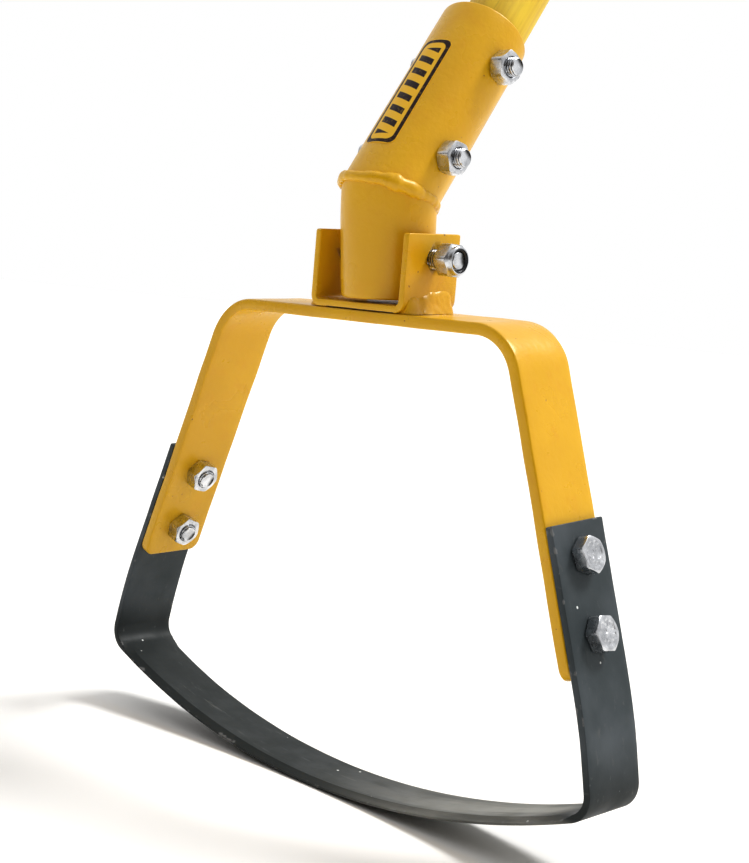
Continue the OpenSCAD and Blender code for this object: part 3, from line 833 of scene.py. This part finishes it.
def build_head():
    """Everything that rides on the swinging head's body."""
    yoke = make_strip_rings(yoke_path(), BAR_T, BAR_ROUND, LEG_CORNER)
    make_piece("yoke_body", tipped(uneven(yoke, 0.22, 15, 4)), AT_YOKE, PAINT, HEAD, ["yoke"])
    path, corner = blade_path()

    def bevel(x, z):
        """Full on the bottom run, fading out round the corners."""
        return min(1.0, max(0.0, (corner[0] + 1 - abs(x)) / 5)) if z < corner[1] + 1 else 0.0

    blade = make_strip_rings(path, BLADE_T, BLADE_ROUND, BLADE_CORNER, bevel)
    make_piece("blade_body", tipped(uneven(blade, 0.14, 15, 5)), AT_YOKE, BLADE, HEAD, ["blade"], sharp=30)
    build_bracket()
    for name, side in (("left", MIRROR), ("right", Matrix.Identity(4))):
        make_piece(f"bracket_weld_{name}_body", tipped(foot_weld_rings(1.0 if name == "left" else 2.6)),
                   AT_YOKE @ side, PAINT, HEAD, [f"bracket_weld_{name}"], sharp=70)
    along = turn(90, "Y")
    make_piece("pivot_bolt_body", bolt_rings(PIVOT_BOLT_LEN, PIVOT_THREAD),
               AT_HEAD @ move(-EAR_OUT, 0, 0) @ along, ZINC, HEAD, ["pivot_bolt"])
    end = AT_HEAD @ move(EAR_OUT + PIVOT_SHANK_GAP, 0, 0) @ along
    make_piece("lock_nut_body", lock_nut_rings(), end, ZINC, HEAD, ["pivot_lock_nut"], closed=True)
    make_piece("lock_nut_ring", nylon_ring_rings(), end, NYLON, HEAD, ["lock_nut_insert"], closed=True)
    angles = {("left", "upper"): (0, 10), ("left", "lower"): (15, 20),
              ("right", "upper"): (20, 0), ("right", "lower"): (5, 15)}
    for (side, row), (bolt_turn, nut_turn) in angles.items():
        leg = on_leg(-1 if side == "left" else 1, BLADE_BOLT_TOP + (BLADE_BOLT_GAP if row == "lower" else 0))
        inwards = turn(-90, "Y")
        bolt = leg @ move(BLADE_T, 0, 0) @ turn(-bolt_turn, "X") @ inwards
        nut = leg @ move(-BAR_T, 0, 0) @ turn(-nut_turn, "X") @ inwards
        make_piece(f"blade_bolt_{side}_{row}_body", bolt_rings(BLADE_BOLT_LEN, BLADE_THREAD), bolt,
                   ZINC, HEAD, [f"blade_bolt_{side}_{row}"])
        make_piece(f"blade_nut_{side}_{row}_body", nut_rings(), nut, ZINC, HEAD,
                   [f"blade_nut_{side}_{row}"], closed=True)


# Studio

def make_camera():
    """The photo's view: from the front right, at the height of the yoke's top, with a slight roll."""
    place, lens = (0.41528, -0.493465, -0.122967), 60.66
    az, el, roll = (math.radians(a) for a in (43.29, 4.56, 5.93))
    back = Vector((math.sin(az) * math.cos(el), -math.cos(az) * math.cos(el), math.sin(el)))
    side = Vector((math.cos(az), math.sin(az), 0))
    up = back.cross(side)
    right = math.cos(roll) * side + math.sin(roll) * up
    up = math.cos(roll) * up - math.sin(roll) * side
    cam = bpy.data.objects.new("camera", bpy.data.cameras.new("camera"))
    cam.matrix_world = Matrix.Translation(place) @ Matrix((right, up, back)).transposed().to_4x4()
    cam.data.lens = lens
    cam.data.shift_x = 0.0119
    cam.data.shift_y = -0.0052
    cam.data.clip_start = 0.01
    cam.data.clip_end = 100
    bpy.context.scene.collection.objects.link(cam)
    bpy.context.scene.camera = cam


def make_floor():
    """A plain pale floor, out to where it meets the white surroundings."""
    z, radius, count = cad_box[0].z - 0.0005, 40.0, 64
    ring = [(radius * math.cos(2 * math.pi * i / count), radius * math.sin(2 * math.pi * i / count), z)
            for i in range(count)]
    mesh = bpy.data.meshes.new("floor")
    mesh.from_pydata(ring, [], [tuple(range(count))])
    material, tree, shader, where = start_material("pale_floor")
    pale = colours(tree, grain(tree, where, 3, 4), (0.87, 0.86, 0.84, 1), (0.90, 0.89, 0.87, 1))
    connect(tree, shader, Base_Color=pale, Roughness=0.9)
    mesh.materials.append(material)
    floor = bpy.data.objects.new("floor", mesh)
    bpy.context.scene.collection.objects.link(floor)


def make_world():
    """Soft white surroundings behind and above, falling off to a dimmer, slightly warm room in front."""
    world = bpy.data.worlds.new("studio")
    bpy.context.scene.world = world
    world.use_nodes = True
    tree = world.node_tree
    direction = add(tree, "TexCoord").outputs["Generated"]
    facing = add(tree, "VectorMath", {0: direction, 1: (-0.32, 0.70, 0.64)}, operation="DOT_PRODUCT")
    amount = fit(tree, facing.outputs["Value"], -0.48, 0.40)
    tree.links.new(colours(tree, amount, (0.10, 0.08, 0.065, 1), (1.0, 1.0, 1.0, 1)),
                   tree.nodes["Background"].inputs["Color"])
    tree.nodes["Background"].inputs["Strength"].default_value = 1.0


def make_sun(name, towards, strength, angle, colour):
    """A sun lamp in the direction towards, angle degrees wide, for soft shadows."""
    light = bpy.data.lights.new(name, "SUN")
    light.energy, light.angle, light.color = strength, math.radians(angle), colour
    ob = bpy.data.objects.new(name, light)
    ob.rotation_euler = Vector(towards).to_track_quat("Z", "Y").to_euler()
    bpy.context.scene.collection.objects.link(ob)


build_handle_side()
build_head()
make_floor()
make_world()
make_sun("key", (0.29, 0.46, 0.84), 2.5, 17, (1.0, 1.0, 1.0))
make_camera()
bpy.context.scene.view_settings.view_transform = "Standard"
bpy.context.scene.view_settings.gamma = 0.8
bpy.context.view_layer.update()
